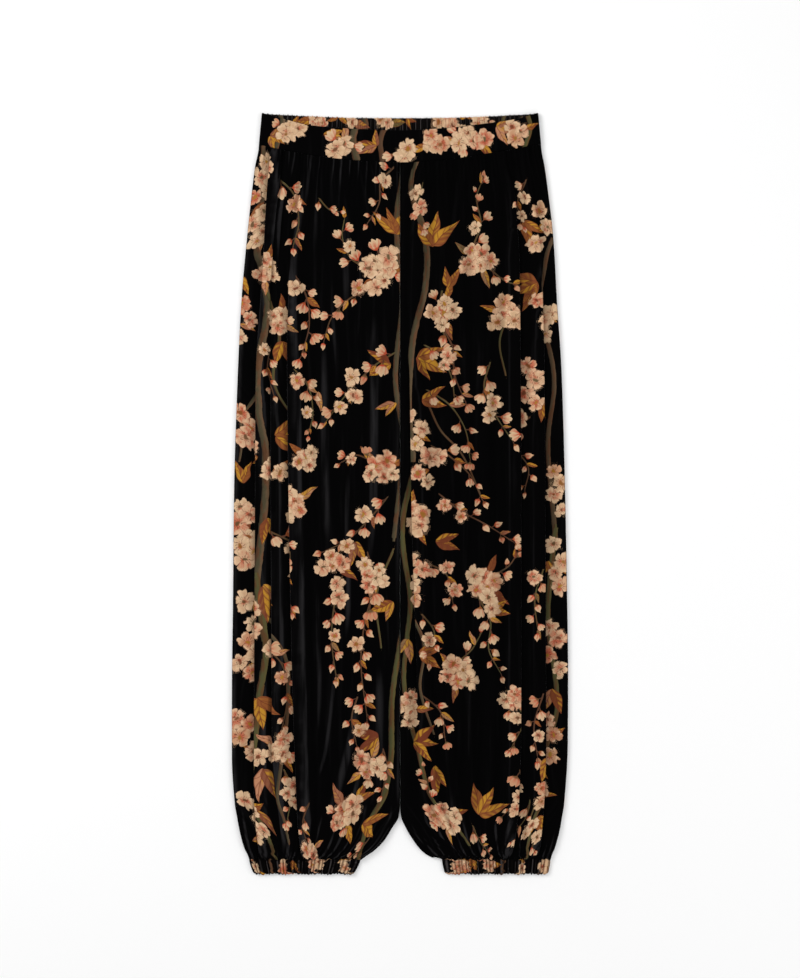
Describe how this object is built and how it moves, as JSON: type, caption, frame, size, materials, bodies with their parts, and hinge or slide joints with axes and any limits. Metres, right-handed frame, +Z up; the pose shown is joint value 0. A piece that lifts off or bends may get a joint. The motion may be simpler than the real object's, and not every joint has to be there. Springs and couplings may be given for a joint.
{
  "type": "balloon trousers",
  "caption": "Printed velvet balloon trousers laid flat, with a smooth front waistband, an elasticated back waistband and gathered ankle cuffs.",
  "frame": {"origin": "centre of the bounding box, on the surface that the trousers lie on", "axes": "+X to the viewer's right across the waist, +Y from the cuffs to the waist, +Z up from the surface, out of the front"},
  "size_m": [0.4319, 0.98, 0.0109],
  "materials": {
    "velvet": "black velvet with a soft sheen and a printed blossom pattern",
    "gathered_velvet": "the same printed velvet, gathered on elastic"
  },
  "bodies": {
    "root": {"waistband_front": "velvet", "waistband_back": "gathered_velvet", "leg_front_left": "velvet", "leg_front_right": "velvet", "leg_back_left": "velvet", "leg_back_right": "velvet", "cuff_left": "gathered_velvet", "cuff_right": "gathered_velvet"}
  },
  "joints": []
}
